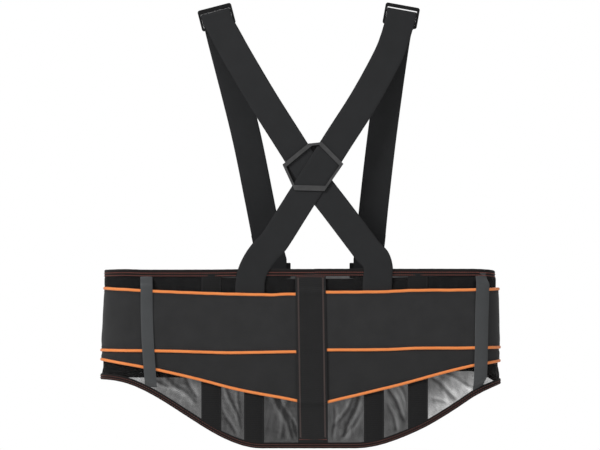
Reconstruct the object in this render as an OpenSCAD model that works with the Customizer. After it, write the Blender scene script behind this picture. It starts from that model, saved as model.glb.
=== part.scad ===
// Back brace: a lumbar belt closed in a flattened loop, worn with crossed back straps.
// X runs along the belt, the back is at -Y, the front closure at +Y, Z is up.
// Z = 0 is the lowest point of the hem, and every length is in millimetres.

/* [View] */
// Sub-part to draw, or all of them

/* [Belt] */
// Half length of the straight run between the two folds
fold_x = 213; // [180:1:260]
// Inner radius of the loop at each fold
loop_r = 29.4; // [20:0.2:60]
// Height of the top edge above the lowest point of the hem
belt_top = 224; // [180:1:280]
// Sideways place of the centre strip
centre_x = 17.5; // [-30:0.5:30]
// How far the hem climbs on the left
hem_rise_left = 87; // [40:1:120]
// How far the hem would climb on the right, past the fold
hem_rise_right = 108; // [40:1:130]
// Flat part of the hem on the left
hem_flat_left = 64; // [20:1:120]
// Flat part of the hem on the right
hem_flat_right = 50; // [20:1:120]
// Length over which the hem climbs on the left
hem_run_left = 200; // [120:1:300]
// Length over which the hem would climb on the right
hem_run_right = 270; // [120:1:300]
// Width of the edge binding
binding_w = 7.5; // [5:0.5:12]
// Thickness of the mesh
mesh_t = 0.6; // [0.4:0.1:1.2]
// Thickness of the bound edge
binding_t = 2.2; // [1.4:0.1:3]

/* [Stay channels] */
// Width of a stay channel
channel_w = 25; // [18:1:34]
// Thickness of a stay channel
channel_t = 2.15; // [1.8:0.05:3]
// Distance of the inner channels from the centre strip
channel_near = 75; // [55:1:95]
// Distance of the outer channels from the centre strip
channel_far = 130; // [105:1:160]
// Width of a spring-steel stay
stay_w = 8; // [6:0.5:14]
// Thickness of a spring-steel stay
stay_t = 1; // [0.6:0.1:1.5]
// Width of the centre strip
strip_w = 37.5; // [28:0.5:50]

/* [Elastic bands] */
// Height of one elastic band
band_h = 77; // [50:1:100]
// Thickness of an elastic band
band_t = 1.2; // [0.8:0.1:2]
// Height of the orange piping
piping_h = 3; // [2:0.5:6]
// Width of the keeper ribbons
keeper_w = 15.5; // [10:0.5:25]

/* [Straps] */
// Width of the strap webbing
strap_w = 36.6; // [24:0.2:50]
// Thickness of the strap webbing
strap_t = 1.2; // [0.8:0.1:2]
// Width of a strap slider
slider_w = 43.5; // [40:0.5:60]
// Height of a strap slider
slider_h = 27; // [22:0.5:40]
// Width of a strap ring
ring_w = 46.5; // [42:0.5:60]

/* [Front] */
// Height of the left front panel's lower edge
front_low_left = 88; // [70:1:110]
// Height of the right front panel's lower edge
front_low_right = 95; // [70:1:110]
// Height of the front panels' upper edge at the closure
front_high = 211; // [190:1:224]
// Thickness of the padded front panels
pad_t = 3.8; // [2:0.1:6]
// Gap between the two front panels under the flap
front_gap = 8; // [2:1:20]
// Length of a pull tab
tab_len = 120; // [80:1:150]

/* [Hidden] */
$fn = 96;
// Half the gap at each fold between the back half and a front panel
split = 0.15;
// Radii of the layers, counted outwards from the inner face of the mesh
binding_r = loop_r;
channel_r = loop_r + mesh_t + 0.05;
anchor_r = loop_r + 3.55;
lower_r = loop_r + 4.3;
upper_r = lower_r + band_t + 0.1;
strip_r = upper_r + band_t + 0.1;
strip_t = 1.3;
keeper_r = strip_r + 0.9;
keeper_t = 1.2;
pad_r = loop_r + pad_t;
// The heights at which the keepers start and end
keeper_top = 216;
keeper_low = 72;
// How far the pull tabs start from the centre strip
tab_start = 193.5;
tab_y = lower_r;
tab_t = 2.5;
tab_axis_y = pad_r + 3.9;
// The rings and the webbing loops that hold them
ring_y = 35.8;
ring_rod = 1.2;
ring_low_z = 212.8;
ring_high_z = 223.2;
ring_top_z = 230;
ring_left_x = -35;
ring_right_x = 85.5;
// The sliders: place of the middle bar, and tilt in the plane of the back
left_bar = [-105.6, 0, 543.3];
left_tilt = 14.5;
right_bar = [127.6, 0, 545.1];
right_tilt = -10.3;
bar_r = 2;
bar_v = 17.6;
leg_y = bar_r + 0.3 + strap_t / 2;
// The crossing of the back straps, and the lean of the straps there
crossing = [17, -24.2, 336];
lean = 0.086;
cross_gap = 1.6;
far = 400;

// Heights of the edges, at a distance x along the belt
function from_centre(x) = abs(x - centre_x);
function ease(t) = let(c = min(1, max(0, t))) c * c * (3 - 2 * c);
function hem_z(x) = is_left(x)
    ? hem_rise_left * ease((from_centre(x) - hem_flat_left) / hem_run_left)
    : hem_rise_right * ease((from_centre(x) - hem_flat_right) / hem_run_right);
function hem_slope(x) = (hem_z(x + 1) - hem_z(x - 1)) / 2;
function hem_top(x) = hem_z(x) + binding_w * sqrt(1 + pow(hem_slope(x), 2));
// The bands sit a little lower on the left half than on the right half
function is_left(x) = x < centre_x;
function rise(x, by) = by * pow(from_centre(x) / 250, 2);
function high_line(x) = is_left(x) ? 192.3 + rise(x, 7.6) : 194.6 + rise(x, 4.2);
function mid_line(x) = is_left(x) ? 120.2 + rise(x, 1.6) : 123 + rise(x, 2.8);
function low_line(x) =
    let(u = from_centre(x), slope = is_left(x) ? 0.221 : 0.238)
    55 + slope * min(u, 195) + 0.19 * max(0, u - 195);
function low_band_top(x) = low_line(x) + band_h;
function front_top(x) = front_high + 10 * pow(from_centre(x) / 260, 2);

// Outline of a flattened loop, and the wall between two of them
module stadium(r) {
    square([2 * fold_x, 2 * r], center = true);
    translate([-fold_x, 0])
        circle(r);
    translate([fold_x, 0])
        circle(r);
}

module wall(r0, r1) {
    difference() {
        stadium(r1);
        stadium(r0);
    }
}

// Part of a loop wall, from x0 to x1, on the back half or the front half
module back_wall(r0, r1, x0, x1) {
    linear_extrude(height = 260)
        intersection() {
            wall(r0, r1);
            translate([x0, -60])
                square([x1 - x0, 60 - split]);
        }
}

module front_wall(r0, r1, x0, x1) {
    linear_extrude(height = 260)
        intersection() {
            wall(r0, r1);
            translate([x0, split])
                square([x1 - x0, 60]);
        }
}

// Stencil that cuts through the loop front to back, given its outline in X and Z
module through(outline) {
    rotate([90, 0, 0])
        linear_extrude(height = 160, center = true)
            polygon(outline);
}

function steps(x0, x1, n) = [for (i = [0 : n]) x0 + (x1 - x0) * i / n];
function backwards(list) = [for (i = [len(list) - 1 : -1 : 0]) list[i]];

// The left or the right end of the belt, beyond the fold
function end_x(side) = side * (fold_x + 40);

// Sorted pair, so that a side can be built in either direction
function low_of(a, b) = min(a, b);
function high_of(a, b) = max(a, b);

module back_piece(side, r0, r1, outline, inner = 0) {
    a = end_x(side);
    b = centre_x + side * inner;
    intersection() {
        back_wall(r0, r1, low_of(a, b), high_of(a, b));
        through(outline);
    }
}

// The places along one side where the heights of curved edges are worked out
function side_steps(side) = steps(centre_x, end_x(side), 20);

// ---- Inner belt ----

module back_panel(side) {
    xs = side_steps(side);
    low = [for (x = xs) [x, hem_top(x) + 0.1]];
    high = [[end_x(side), belt_top - binding_w - 0.1], [centre_x, belt_top - binding_w - 0.1]];
    color("dimgray")
        back_piece(side, loop_r, loop_r + mesh_t, concat(low, high));
}

module back_panel_left() {
    back_panel(-1);
}

module back_panel_right() {
    back_panel(1);
}

module top_binding() {
    color("black")
        translate([0, 0, belt_top - binding_w])
            linear_extrude(height = binding_w)
                intersection() {
                    wall(binding_r, binding_r + binding_t);
                    translate([-far, -60])
                        square([2 * far, 60 - split]);
                }
}

module hem_binding() {
    xs = concat(backwards(side_steps(-1)), side_steps(1));
    low = [for (x = xs) [x, hem_z(x)]];
    high = [for (x = backwards(xs)) [x, hem_top(x)]];
    color("saddlebrown")
        intersection() {
            back_wall(binding_r, binding_r + binding_t, -far, far);
            through(concat(low, high));
        }
}

// A channel is a flat sleeve on the back, with a pocket for its stay
module channel(u) {
    x = centre_x + u;
    z0 = hem_top(x + (u < 0 ? -1 : 1) * channel_w / 2) + 1;
    z1 = belt_top - binding_w - 1;
    color("black")
        difference() {
            translate([x - channel_w / 2, -channel_r - channel_t, z0])
                cube([channel_w, channel_t, z1 - z0]);
            translate([x - stay_w / 2 - 0.5, -channel_r - channel_t / 2 - stay_t / 2 - 0.1, z0 + 4])
                cube([stay_w + 1, stay_t + 0.2, z1 - z0 - 8]);
        }
}

module stay(u) {
    x = centre_x + u;
    z0 = hem_top(x + (u < 0 ? -1 : 1) * channel_w / 2) + 7;
    z1 = belt_top - binding_w - 7;
    color("silver")
        translate([x, -channel_r - channel_t / 2 + stay_t / 2, 0])
            rotate([90, 0, 0])
                linear_extrude(height = stay_t) {
                    translate([-stay_w / 2, z0 + stay_w / 2])
                        square([stay_w, z1 - z0 - stay_w]);
                    translate([0, z0 + stay_w / 2])
                        circle(stay_w / 2);
                    translate([0, z1 - stay_w / 2])
                        circle(stay_w / 2);
                }
}

module channel_far_left() {
    channel(-channel_far);
}

module channel_near_left() {
    channel(-channel_near);
}

module channel_near_right() {
    channel(channel_near);
}

module channel_far_right() {
    channel(channel_far);
}

module stay_far_left() {
    stay(-channel_far);
}

module stay_near_left() {
    stay(-channel_near);
}

module stay_near_right() {
    stay(channel_near);
}

module stay_far_right() {
    stay(channel_far);
}

module centre_stay() {
    color("silver")
        translate([centre_x - 6, -channel_r - 1.6, 16])
            cube([12, 1.5, 190]);
}

// The centre strip lies over the ends of the bands and turns in above and below them
module centre_strip() {
    color("black")
        translate([centre_x - strip_w / 2, 0, 0]) {
            translate([0, -strip_r - strip_t, 7])
                cube([strip_w, strip_t, 209.5]);
            translate([0, -strip_r, 205])
                cube([strip_w, strip_r - channel_r - 1.8, 11.5]);
            translate([0, -strip_r, 8.5])
                cube([strip_w, strip_r - channel_r - 1.8, 6]);
        }
}

// ---- Elastic bands ----

// Levels of the piping: 0 the lower band's edge, 1 and 2 the upper band's edges
function level_z(x, level) = level == 0 ? low_line(x) : level == 1 ? mid_line(x) : high_line(x);
function line_outline(side, level) =
    let(xs = side_steps(side), h = piping_h / 2)
    concat(
        [for (x = xs) [x, level_z(x, level) - h]],
        [for (x = backwards(xs)) [x, level_z(x, level) + h]]
    );
function upper_outline(side) =
    let(xs = side_steps(side), h = piping_h / 2 + 0.1)
    concat(
        [for (x = xs) [x, mid_line(x) + h]],
        [for (x = backwards(xs)) [x, high_line(x) - h]]
    );
function lower_outline(side) =
    let(xs = side_steps(side), h = piping_h / 2 + 0.1)
    concat(
        [for (x = xs) [x, low_line(x) + h]],
        [for (x = backwards(xs)) [x, low_band_top(x)]]
    );

module lower_band(side) {
    color("#323234")
        back_piece(side, lower_r, lower_r + band_t, lower_outline(side));
}

module lower_band_left() {
    lower_band(-1);
}

module lower_band_right() {
    lower_band(1);
}

module upper_band(side) {
    color("#343436")
        back_piece(side, upper_r, upper_r + band_t, upper_outline(side));
}

module upper_band_left() {
    upper_band(-1);
}

module upper_band_right() {
    upper_band(1);
}

module piping(side) {
    color("darkorange") {
        for (level = [1, 2])
            back_piece(side, upper_r, upper_r + 2, line_outline(side, level), strip_w / 2 + 0.3);
        back_piece(side, lower_r, lower_r + 2, line_outline(side, 0), strip_w / 2 + 0.3);
    }
}

module piping_left() {
    piping(-1);
}

module piping_right() {
    piping(1);
}

// A keeper ribbon spans from the top binding to the hem, over both bands
module keeper(side) {
    x1 = centre_x + side * 211;
    x0 = centre_x + side * 204.5;
    h = keeper_w / 2;
    whole = [[x0 - h, keeper_low], [x0 + h, keeper_low], [x1 + h, keeper_top], [x1 - h, keeper_top]];
    high_end = [[x1 - h - 0.4, keeper_top - 8], [x1 + h - 0.4, keeper_top - 8], [x1 + h, keeper_top], [x1 - h, keeper_top]];
    low_end = [[x0 - h, keeper_low], [x0 + h, keeper_low], [x0 + h + 0.3, keeper_low + 6], [x0 - h + 0.3, keeper_low + 6]];
    color("#46484a")
        union() {
            back_piece(side, keeper_r, keeper_r + keeper_t, whole);
            back_piece(side, binding_r + binding_t + 0.05, keeper_r + keeper_t, high_end);
            back_piece(side, binding_r + binding_t + 0.05, keeper_r + keeper_t, low_end);
        }
}

module keeper_left() {
    keeper(-1);
}

module keeper_right() {
    keeper(1);
}

// ---- Straps: each control point is [x, y, z, turn of the width in degrees, its lean] ----

function knot(k, i) = k[min(len(k) - 1, max(0, i))];
function blend_of(a, b, c, d, t) =
    0.5 * ((2 * b) + (c - a) * t + (2 * a - 5 * b + 4 * c - d) * t * t + (3 * b - a - 3 * c + d) * t * t * t);
function smooth_path(k, n) = concat(
    [for (i = [0 : len(k) - 2], j = [0 : n - 1])
        blend_of(knot(k, i - 1), knot(k, i), knot(k, i + 1), knot(k, i + 2), j / n)],
    [k[len(k) - 1]]
);
function xyz(p) = [p[0], p[1], p[2]];
function across(p) = unit([cos(p[3]), p[4] * sin(p[3]), sin(p[3])]);
function unit(v) = v / norm(v);
function heading(path, i) = unit(xyz(knot(path, i + 1)) - xyz(knot(path, i - 1)));
function ribbon_ring(path, i) =
    let(
        a = across(path[i]) * strap_w / 2,
        n = unit(cross(heading(path, i), across(path[i]))) * strap_t / 2,
        c = xyz(path[i])
    )
    [c + a + n, c - a + n, c - a - n, c + a - n];

module ribbon(path) {
    n = len(path);
    points = [for (i = [0 : n - 1]) each ribbon_ring(path, i)];
    sides = [for (i = [0 : n - 2], k = [0 : 3])
        each [
            [4 * i + k, 4 * i + (k + 1) % 4, 4 * i + 4 + k],
            [4 * i + (k + 1) % 4, 4 * i + 4 + (k + 1) % 4, 4 * i + 4 + k]
        ]];
    ends = [[3, 2, 1, 0], [4 * n - 4, 4 * n - 3, 4 * n - 2, 4 * n - 1]];
    polyhedron(points = points, faces = concat(sides, ends), convexity = 8);
}

// The turn of a strap over the middle bar of its slider, from the back leg to the front leg
function slider_point(bar, tilt, v, y) = [
    bar[0] - sin(tilt) * (v - bar_v),
    bar[1] + y,
    bar[2] + cos(tilt) * (v - bar_v),
    tilt,
    0
];
function slider_turn(bar, tilt) = [for (a = [0 : 15 : 180])
    slider_point(bar, tilt, bar_v + leg_y * sin(a), -leg_y * cos(a))];

// The back straps start under the upper band and bend towards the crossing
left_back_path = [
    [-62.5, -anchor_r, 186, 0, 0],
    [-62.5, -anchor_r, 205, 0, 0],
    [-59.5, -anchor_r, 220, -17, 0],
    [-52, -32.6, 235, -32, 0],
    [-42.5, -31.8, 247.5, -38, lean / 2],
    lean_knot(-31, 260, 0, -34),
    lean_knot(-7, 298, 0, -32.3),
    lean_knot(17, 336, 0, -32.3),
    lean_knot(48, 385, 0, -32.5),
    [80, -14.6, 435, -30.8, lean],
    [107.5, -9, 485, -26.9, lean / 2],
    [118, -5.8, 510, -20, 0],
    slider_point(right_bar, right_tilt, 10, -leg_y)
];
right_back_path = [
    [96, -anchor_r, 186, 0, 0],
    [97, -anchor_r, 212, -1, 0],
    [98, -anchor_r, 224, 8, 0],
    [94.5, -32.4, 236, 30, 0],
    [85, -31.3, 246, 39, lean / 2],
    lean_knot(74.4, 260, 1, 37),
    lean_knot(45.7, 298, cross_gap, 36),
    lean_knot(17, 336, cross_gap, 34.5),
    lean_knot(-14.4, 385, cross_gap, 32.3),
    [-46, -14, 435, 31.5, lean],
    [-75.6, -9, 485, 29.5, lean / 2],
    [-88.5, -5.8, 508, 28, 0],
    slider_point(left_bar, left_tilt, 10, -leg_y)
];
// A point of a strap in the leaning plane of the crossing, or a gap inside it
function lean_knot(x, z, gap, turn) = [x, crossing[1] + gap + lean * (z - crossing[2]), z, turn, lean];

// A front strap hangs from its slider, goes round the upper bar of the ring and ends above it
function front_path(bar, tilt, high, mid, low, x) = [
    slider_point(bar, tilt, bar_v - 0.3, leg_y),
    slider_point(bar, tilt, 9, leg_y),
    slider_point(bar, tilt, 1, leg_y),
    [high[0], 6.2, 510, high[1], 0],
    [mid[0], 17.4, 397.5, mid[1], 0],
    [low[0], 26.4, 310, low[1], 0],
    [low[0] + (x - low[0]) * 0.66, 31.6, 256, low[1] * 0.5, 0],
    [x, 33.5, 236, 0, 0]
];
function ring_turn(x, r) = [for (a = [0 : 20 : 180])
    [x, ring_y - r * cos(a), ring_high_z - r * sin(a), 0, 0]];
function front_end(x, low) = [
    [x, 37.9, 231.6, 0, 0],
    [x + (low[0] - x) * 0.06, 37.2, 239, 0, 0],
    [x + (low[0] - x) * 0.3, 34.9, 252, low[1] * 0.4, 0],
    [x + (low[0] - x) * 0.52, 33, 268, low[1] * 0.7, 0]
];

module back_strap_left() {
    color("#292b2d")
        ribbon(concat(smooth_path(left_back_path, 5), slider_turn(right_bar, right_tilt)));
}

module back_strap_right() {
    color("#292b2d")
        ribbon(concat(smooth_path(right_back_path, 5), slider_turn(left_bar, left_tilt)));
}

module front_strap(bar, tilt, high, mid, low, x) {
    r = ring_rod + 0.2 + strap_t / 2;
    color("#26282a")
        ribbon(concat(
            smooth_path(front_path(bar, tilt, high, mid, low, x), 5),
            ring_turn(x, r),
            smooth_path(front_end(x, low), 4)
        ));
}

module front_strap_left() {
    front_strap(left_bar, left_tilt, [-97.5, 13.6], [-69, 14], [-51, 12], ring_left_x);
}

module front_strap_right() {
    front_strap(right_bar, right_tilt, [119.5, -10], [103.8, -8.5], [93.6, -7], ring_right_x);
}

// ---- Cross slide: two frames joined by posts beside the straps ----

slide_corners = [[-7, 44.6], [10.5, 46.5], [37.2, 19.3], [13.5, -15], [-23.9, -14], [-38.8, 18.4]];
slide_bars = [3, 5, 2.8, 6.5, 2.8, 5];

function inward(a, b) = unit([b[1] - a[1], a[0] - b[0]]);
function meet(p, d, q, e) = p + d * (((q - p)[0] * e[1] - (q - p)[1] * e[0]) / (d[0] * e[1] - d[1] * e[0]));
function inset(c, w) = [for (i = [0 : len(c) - 1])
    let(
        n = len(c),
        before = c[(i + n - 1) % n],
        here = c[i],
        next = c[(i + 1) % n]
    )
    meet(
        here + inward(before, here) * w[(i + n - 1) % n], here - before,
        here + inward(here, next) * w[i], next - here
    )];

module slide_frame() {
    difference() {
        polygon(slide_corners);
        polygon(inset(slide_corners, slide_bars));
    }
}

module strap_lane(turn) {
    rotate(turn)
        square([strap_w + 0.8, 200], center = true);
}

module slide_layer(y, t) {
    translate([crossing[0], crossing[1], crossing[2]])
        rotate([90 - atan(lean), 0, 0])
            translate([0, 0, y])
                linear_extrude(height = t)
                    children();
}

slide_inner = -(cross_gap + strap_t / 2 + 0.3 + 1.8);

// A thin patch of webbing that fills the slide's inner frame, behind the straps
module cross_patch() {
    color("#202022")
        slide_layer(slide_inner + 0.5, 0.8)
            offset(delta = -0.05)
                polygon(inset(slide_corners, slide_bars));
}

module cross_slide() {
    inner = slide_inner;
    outer = strap_t / 2 + 0.3;
    color("#4b4b4d")
        union() {
            slide_layer(outer, 1.8)
                slide_frame();
            slide_layer(inner, 1.8)
                slide_frame();
            slide_layer(inner, outer + 1.8 - inner)
                difference() {
                    slide_frame();
                    strap_lane(-32.3);
                    strap_lane(32.3);
                    strap_lane(37);
                }
        }
}

// ---- Strap sliders: a rounded frame with a round middle bar ----

module rounded(w, h, r) {
    square([w - 2 * r, h], center = true);
    square([w, h - 2 * r], center = true);
    for (x = [-1, 1], y = [-1, 1])
        translate([x * (w / 2 - r), y * (h / 2 - r)])
            circle(r);
}

module slider(bar, tilt, top_t) {
    window = strap_w + 0.9;
    low_t = 3.7;
    color("#1c1c1d")
        translate(bar)
            rotate([0, -tilt, 0])
                translate([0, 0, -bar_v])
                    union() {
                        translate([0, 1.5, slider_h / 2])
                            rotate([90, 0, 0])
                                linear_extrude(height = 3)
                                    difference() {
                                        rounded(slider_w, slider_h, 3);
                                        translate([0, (low_t - top_t) / 2])
                                            rounded(window, slider_h - low_t - top_t, 0.8);
                                    }
                        translate([-slider_w / 2 + 1.2, 0, bar_v])
                            rotate([0, 90, 0])
                                cylinder(r = bar_r, h = slider_w - 2.4);
                    }
}

module slider_left() {
    slider(left_bar, left_tilt, 5.8);
}

module slider_right() {
    slider(right_bar, right_tilt, 4.7);
}

// ---- Front panels ----

function inner_edge(side) = centre_x + side * front_gap / 2;
function front_base(side) = side < 0 ? front_low_left : front_low_right;

module front_piece(side, x_in, r0, r1, outline) {
    a = end_x(side);
    intersection() {
        front_wall(r0, r1, low_of(a, x_in), high_of(a, x_in));
        through(outline);
    }
}

module front_panel(side) {
    xs = steps(inner_edge(side), end_x(side), 12);
    low = [for (x = xs) [x, front_base(side) + binding_w]];
    high = [for (x = backwards(xs)) [x, front_top(x) - binding_w]];
    color("#2a2a2c")
        front_piece(side, inner_edge(side), loop_r, pad_r, concat(low, high));
}

module front_panel_left() {
    front_panel(-1);
}

module front_panel_right() {
    front_panel(1);
}

module front_binding(side) {
    xs = steps(inner_edge(side), end_x(side), 12);
    top_low = [for (x = xs) [x, front_top(x) - binding_w]];
    top_high = [for (x = backwards(xs)) [x, front_top(x)]];
    color("#1b1a1a") {
        front_piece(side, inner_edge(side), binding_r, pad_r, concat(top_low, top_high));
        front_piece(side, inner_edge(side), binding_r, pad_r, [
            [end_x(side), front_base(side)], [inner_edge(side), front_base(side)],
            [inner_edge(side), front_base(side) + binding_w], [end_x(side), front_base(side) + binding_w]
        ]);
    }
}

module front_binding_left() {
    front_binding(-1);
}

module front_binding_right() {
    front_binding(1);
}

// The bands run round the folds on to the front panels, as far as the pull tabs
function wrap_end(side) = centre_x + side * (tab_start + split);

module lower_wrap(side) {
    color("#323234")
        front_piece(side, wrap_end(side), lower_r, lower_r + band_t, lower_outline(side));
}

module lower_wrap_left() {
    lower_wrap(-1);
}

module lower_wrap_right() {
    lower_wrap(1);
}

module upper_wrap(side) {
    color("#343436")
        front_piece(side, wrap_end(side), upper_r, upper_r + band_t, upper_outline(side));
}

module upper_wrap_left() {
    upper_wrap(-1);
}

module upper_wrap_right() {
    upper_wrap(1);
}

module piping_wrap(side) {
    color("darkorange") {
        for (level = [1, 2])
            front_piece(side, wrap_end(side), upper_r, upper_r + 2, line_outline(side, level));
        front_piece(side, wrap_end(side), lower_r, lower_r + 2, line_outline(side, 0));
    }
}

module piping_wrap_left() {
    piping_wrap(-1);
}

module piping_wrap_right() {
    piping_wrap(1);
}

// ---- Pull tabs: flat pieces that end in a rounded nose ----

function tab_x(side, d) = centre_x + side * (tab_start - split - d);

module tab_plate(y, t, outline) {
    translate([0, y + t, 0])
        rotate([90, 0, 0])
            linear_extrude(height = t)
                polygon(outline);
}

// Half height of a tab at a distance d from its root, about its middle height
tab_mid = 153;
nose_r = 22;
function tab_half(d) = 42 - 14 * ease(d / (tab_len - 30));
function tab_edge(side, grow) = concat(
    [for (d = [0 : 15 : tab_len - 30]) [tab_x(side, d), tab_mid + tab_half(d) + grow]],
    [for (a = [75 : -15 : -75]) [
        tab_x(side, tab_len - 30 + 30 * cos(a)), tab_mid + (tab_half(tab_len) + grow) * sin(a)]],
    [for (d = [tab_len - 30 : -15 : 0]) [tab_x(side, d), tab_mid - tab_half(d) - grow]]
);

module pull_tab(side) {
    color("#2d2d2f")
        tab_plate(tab_y, tab_t, tab_edge(side, 0));
}

module pull_tab_left() {
    pull_tab(-1);
}

module pull_tab_right() {
    pull_tab(1);
}

module tab_piping(side) {
    color("darkorange")
        difference() {
            tab_plate(tab_y + 0.4, tab_t - 0.2, [for (p = tab_edge(side, 0))
                [p[0] - side * (p[0] * side < tab_x(side, tab_len - 30) * side ? 2 : 0), p[1] + sign(p[1] - tab_mid) * 2]]);
            tab_plate(tab_y - 1, tab_t + 2, tab_edge(side, 0.02));
        }
}

module tab_piping_left() {
    tab_piping(-1);
}

module tab_piping_right() {
    tab_piping(1);
}

module tab_hooks(side) {
    a = tab_x(side, 50);
    b = tab_x(side, tab_len - 8);
    color("#141414")
        translate([low_of(a, b), tab_y - 0.35, tab_mid - 22])
            cube([abs(a - b), 0.35, 44]);
}

module tab_hooks_left() {
    tab_hooks(-1);
}

module tab_hooks_right() {
    tab_hooks(1);
}

module tab_grip(side) {
    color("#3a3a3c")
        translate([tab_x(side, tab_len - 18), tab_y + tab_t + 0.8, tab_mid])
            rotate([90, 0, 0])
                linear_extrude(height = 0.8)
                    rounded(14, 34, 4);
}

module tab_grip_left() {
    tab_grip(-1);
}

module tab_grip_right() {
    tab_grip(1);
}

// ---- Front closure: hook flap on the left panel, loop pad on the right panel ----

loop_t = 0.3;
hook_y = pad_r + loop_t + 0.1;
flap_y = hook_y + 0.45;
flap_t = 1.2;
flap_x0 = centre_x - 29.5;
flap_x1 = centre_x + 42.5;

module closure_flap() {
    color("#2a2a2c")
        union() {
            translate([0, flap_y + flap_t, 0])
                rotate([90, 0, 0])
                    linear_extrude(height = flap_t) {
                        translate([flap_x0, 102])
                            square([flap_x1 - flap_x0 - 14, 100]);
                        translate([flap_x0, 116])
                            square([flap_x1 - flap_x0, 72]);
                        for (z = [116, 188])
                            translate([flap_x1 - 14, z])
                                circle(14);
                    }
            translate([flap_x0, pad_r, 102])
                cube([20, flap_y - pad_r, 100]);
        }
}

module closure_hooks() {
    color("#141414")
        translate([centre_x + 8, hook_y, 112])
            cube([32, 0.45, 80]);
}

module closure_loop_pad() {
    color("#202022")
        translate([centre_x + 6, pad_r, 106])
            cube([38, loop_t, 92]);
}

// ---- Rings, each held by a loop of webbing sewn to the top of a front panel ----

module ring(x) {
    window = strap_w / 2 + 0.6;
    color("#1a1a1b")
        translate([x, ring_y, 0])
            union() {
                for (z = [[ring_low_z, ring_low_z], [ring_high_z, ring_top_z]])
                    hull()
                        for (k = [0, 1])
                            translate([-ring_w / 2 + 1, 0, z[k]])
                                rotate([0, 90, 0])
                                    cylinder(r = ring_rod, h = ring_w - 2);
                for (s = [-1, 1])
                    translate([s * (window + ring_w / 2) / 2, ring_rod, (ring_low_z + ring_top_z) / 2])
                        rotate([90, 0, 0])
                            linear_extrude(height = 2 * ring_rod)
                                rounded(ring_w / 2 - window, ring_top_z - ring_low_z + 2 * ring_rod, 1.1);
            }
}

module ring_left() {
    ring(ring_left_x);
}

module ring_right() {
    ring(ring_right_x);
}

module ring_tab(x) {
    inner = ring_rod + 0.2;
    outer = ring_rod + 1.2;
    leg_low = 199;
    tab_w = strap_w + 0.4;
    color("#26282a")
        translate([x - tab_w / 2, 0, 0])
            rotate([90, 0, 90])
                linear_extrude(height = tab_w)
                    union() {
                        intersection() {
                            translate([ring_y, ring_low_z])
                                difference() {
                                    circle(outer);
                                    circle(inner);
                                }
                            translate([ring_y - 5, ring_low_z])
                                square([10, 10]);
                        }
                        translate([ring_y - outer, leg_low])
                            square([1, ring_low_z - leg_low]);
                        polygon([
                            [ring_y + inner, ring_low_z], [ring_y + outer, ring_low_z],
                            [ring_y + outer, ring_low_z - 2], [ring_y - inner + 1.05, ring_low_z - 12],
                            [ring_y - inner + 1.05, leg_low], [ring_y - inner, leg_low],
                            [ring_y - inner, ring_low_z - 11], [ring_y + inner, ring_low_z - 2]
                        ]);
                    }
}

module ring_tab_left() {
    ring_tab(ring_left_x);
}

module ring_tab_right() {
    ring_tab(ring_right_x);
}

back_panel_left();
back_panel_right();
top_binding();
hem_binding();
channel_far_left();
channel_near_left();
channel_near_right();
channel_far_right();
stay_far_left();
stay_near_left();
stay_near_right();
stay_far_right();
centre_stay();
centre_strip();
lower_band_left();
lower_band_right();
upper_band_left();
upper_band_right();
piping_left();
piping_right();
keeper_left();
keeper_right();
back_strap_left();
back_strap_right();
front_strap_left();
front_strap_right();
cross_slide();
cross_patch();
slider_left();
slider_right();
front_panel_left();
front_panel_right();
front_binding_left();
front_binding_right();
lower_wrap_left();
lower_wrap_right();
upper_wrap_left();
upper_wrap_right();
piping_wrap_left();
piping_wrap_right();
closure_flap();
closure_hooks();
closure_loop_pad();
ring_tab_left();
ring_tab_right();
ring_left();
ring_right();
pull_tab_left();
pull_tab_right();
tab_hooks_left();
tab_hooks_right();
tab_piping_left();
tab_piping_right();
tab_grip_left();
tab_grip_right();
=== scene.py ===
import math

import bmesh
import bpy
import numpy as np
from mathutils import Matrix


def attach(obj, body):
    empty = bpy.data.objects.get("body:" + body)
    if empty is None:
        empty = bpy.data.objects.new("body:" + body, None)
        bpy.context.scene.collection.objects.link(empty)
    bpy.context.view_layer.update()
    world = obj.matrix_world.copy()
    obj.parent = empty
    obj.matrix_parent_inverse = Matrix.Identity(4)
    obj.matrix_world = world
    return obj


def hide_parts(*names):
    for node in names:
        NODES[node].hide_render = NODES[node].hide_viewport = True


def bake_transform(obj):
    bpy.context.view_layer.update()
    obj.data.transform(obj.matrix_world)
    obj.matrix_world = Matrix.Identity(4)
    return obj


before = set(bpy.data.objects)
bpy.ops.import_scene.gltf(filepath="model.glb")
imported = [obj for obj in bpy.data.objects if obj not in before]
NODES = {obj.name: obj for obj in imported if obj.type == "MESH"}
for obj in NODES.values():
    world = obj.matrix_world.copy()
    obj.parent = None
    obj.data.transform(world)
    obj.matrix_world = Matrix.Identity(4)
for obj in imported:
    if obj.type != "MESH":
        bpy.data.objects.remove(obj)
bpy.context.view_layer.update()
PI = math.pi

# Lengths below are in millimetres, in the frame of the CAD model; meshes are made in metres.
# Names that end in R are layers of the loop, T thicknesses, W widths.
MM = 0.001
FOLD_X, CENTRE_X, ARC_R = 213.0, 17.5, 33.0
LOOP_R, PAD_T = 29.4, 3.8
CHANNEL_R, CHANNEL_T, CHANNEL_W, CENTRE_SLEEVE_W = 30.05, 2.15, 25.0, 26
ANCHOR_R, LOWER_R, UPPER_R = 32.95, 33.7, 35.0
BAND_T, BAND_W, PIPING_OUT, LOWER_OUT = 1.2, 77.0, 0.95, 1.2
STRIP_R, TUCKED_R, STRIP_T, STRIP_W = 36.3, 32.6, 1.3, 37.5
KEEPER_R, KEEPER_T = 37.2, 1.2
BINDING_T, BINDING_W, TOP_BINDING_W = 2.2, 7.5, 9.3
TOP, FRONT_HIGH, FRONT_GAP = 224.0, 211.0, 8.0
FRONT_LOW = {-1: 87.0, 1: 95.0}
STRAP_W, STRAP_T = 36.6, 1.2
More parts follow.
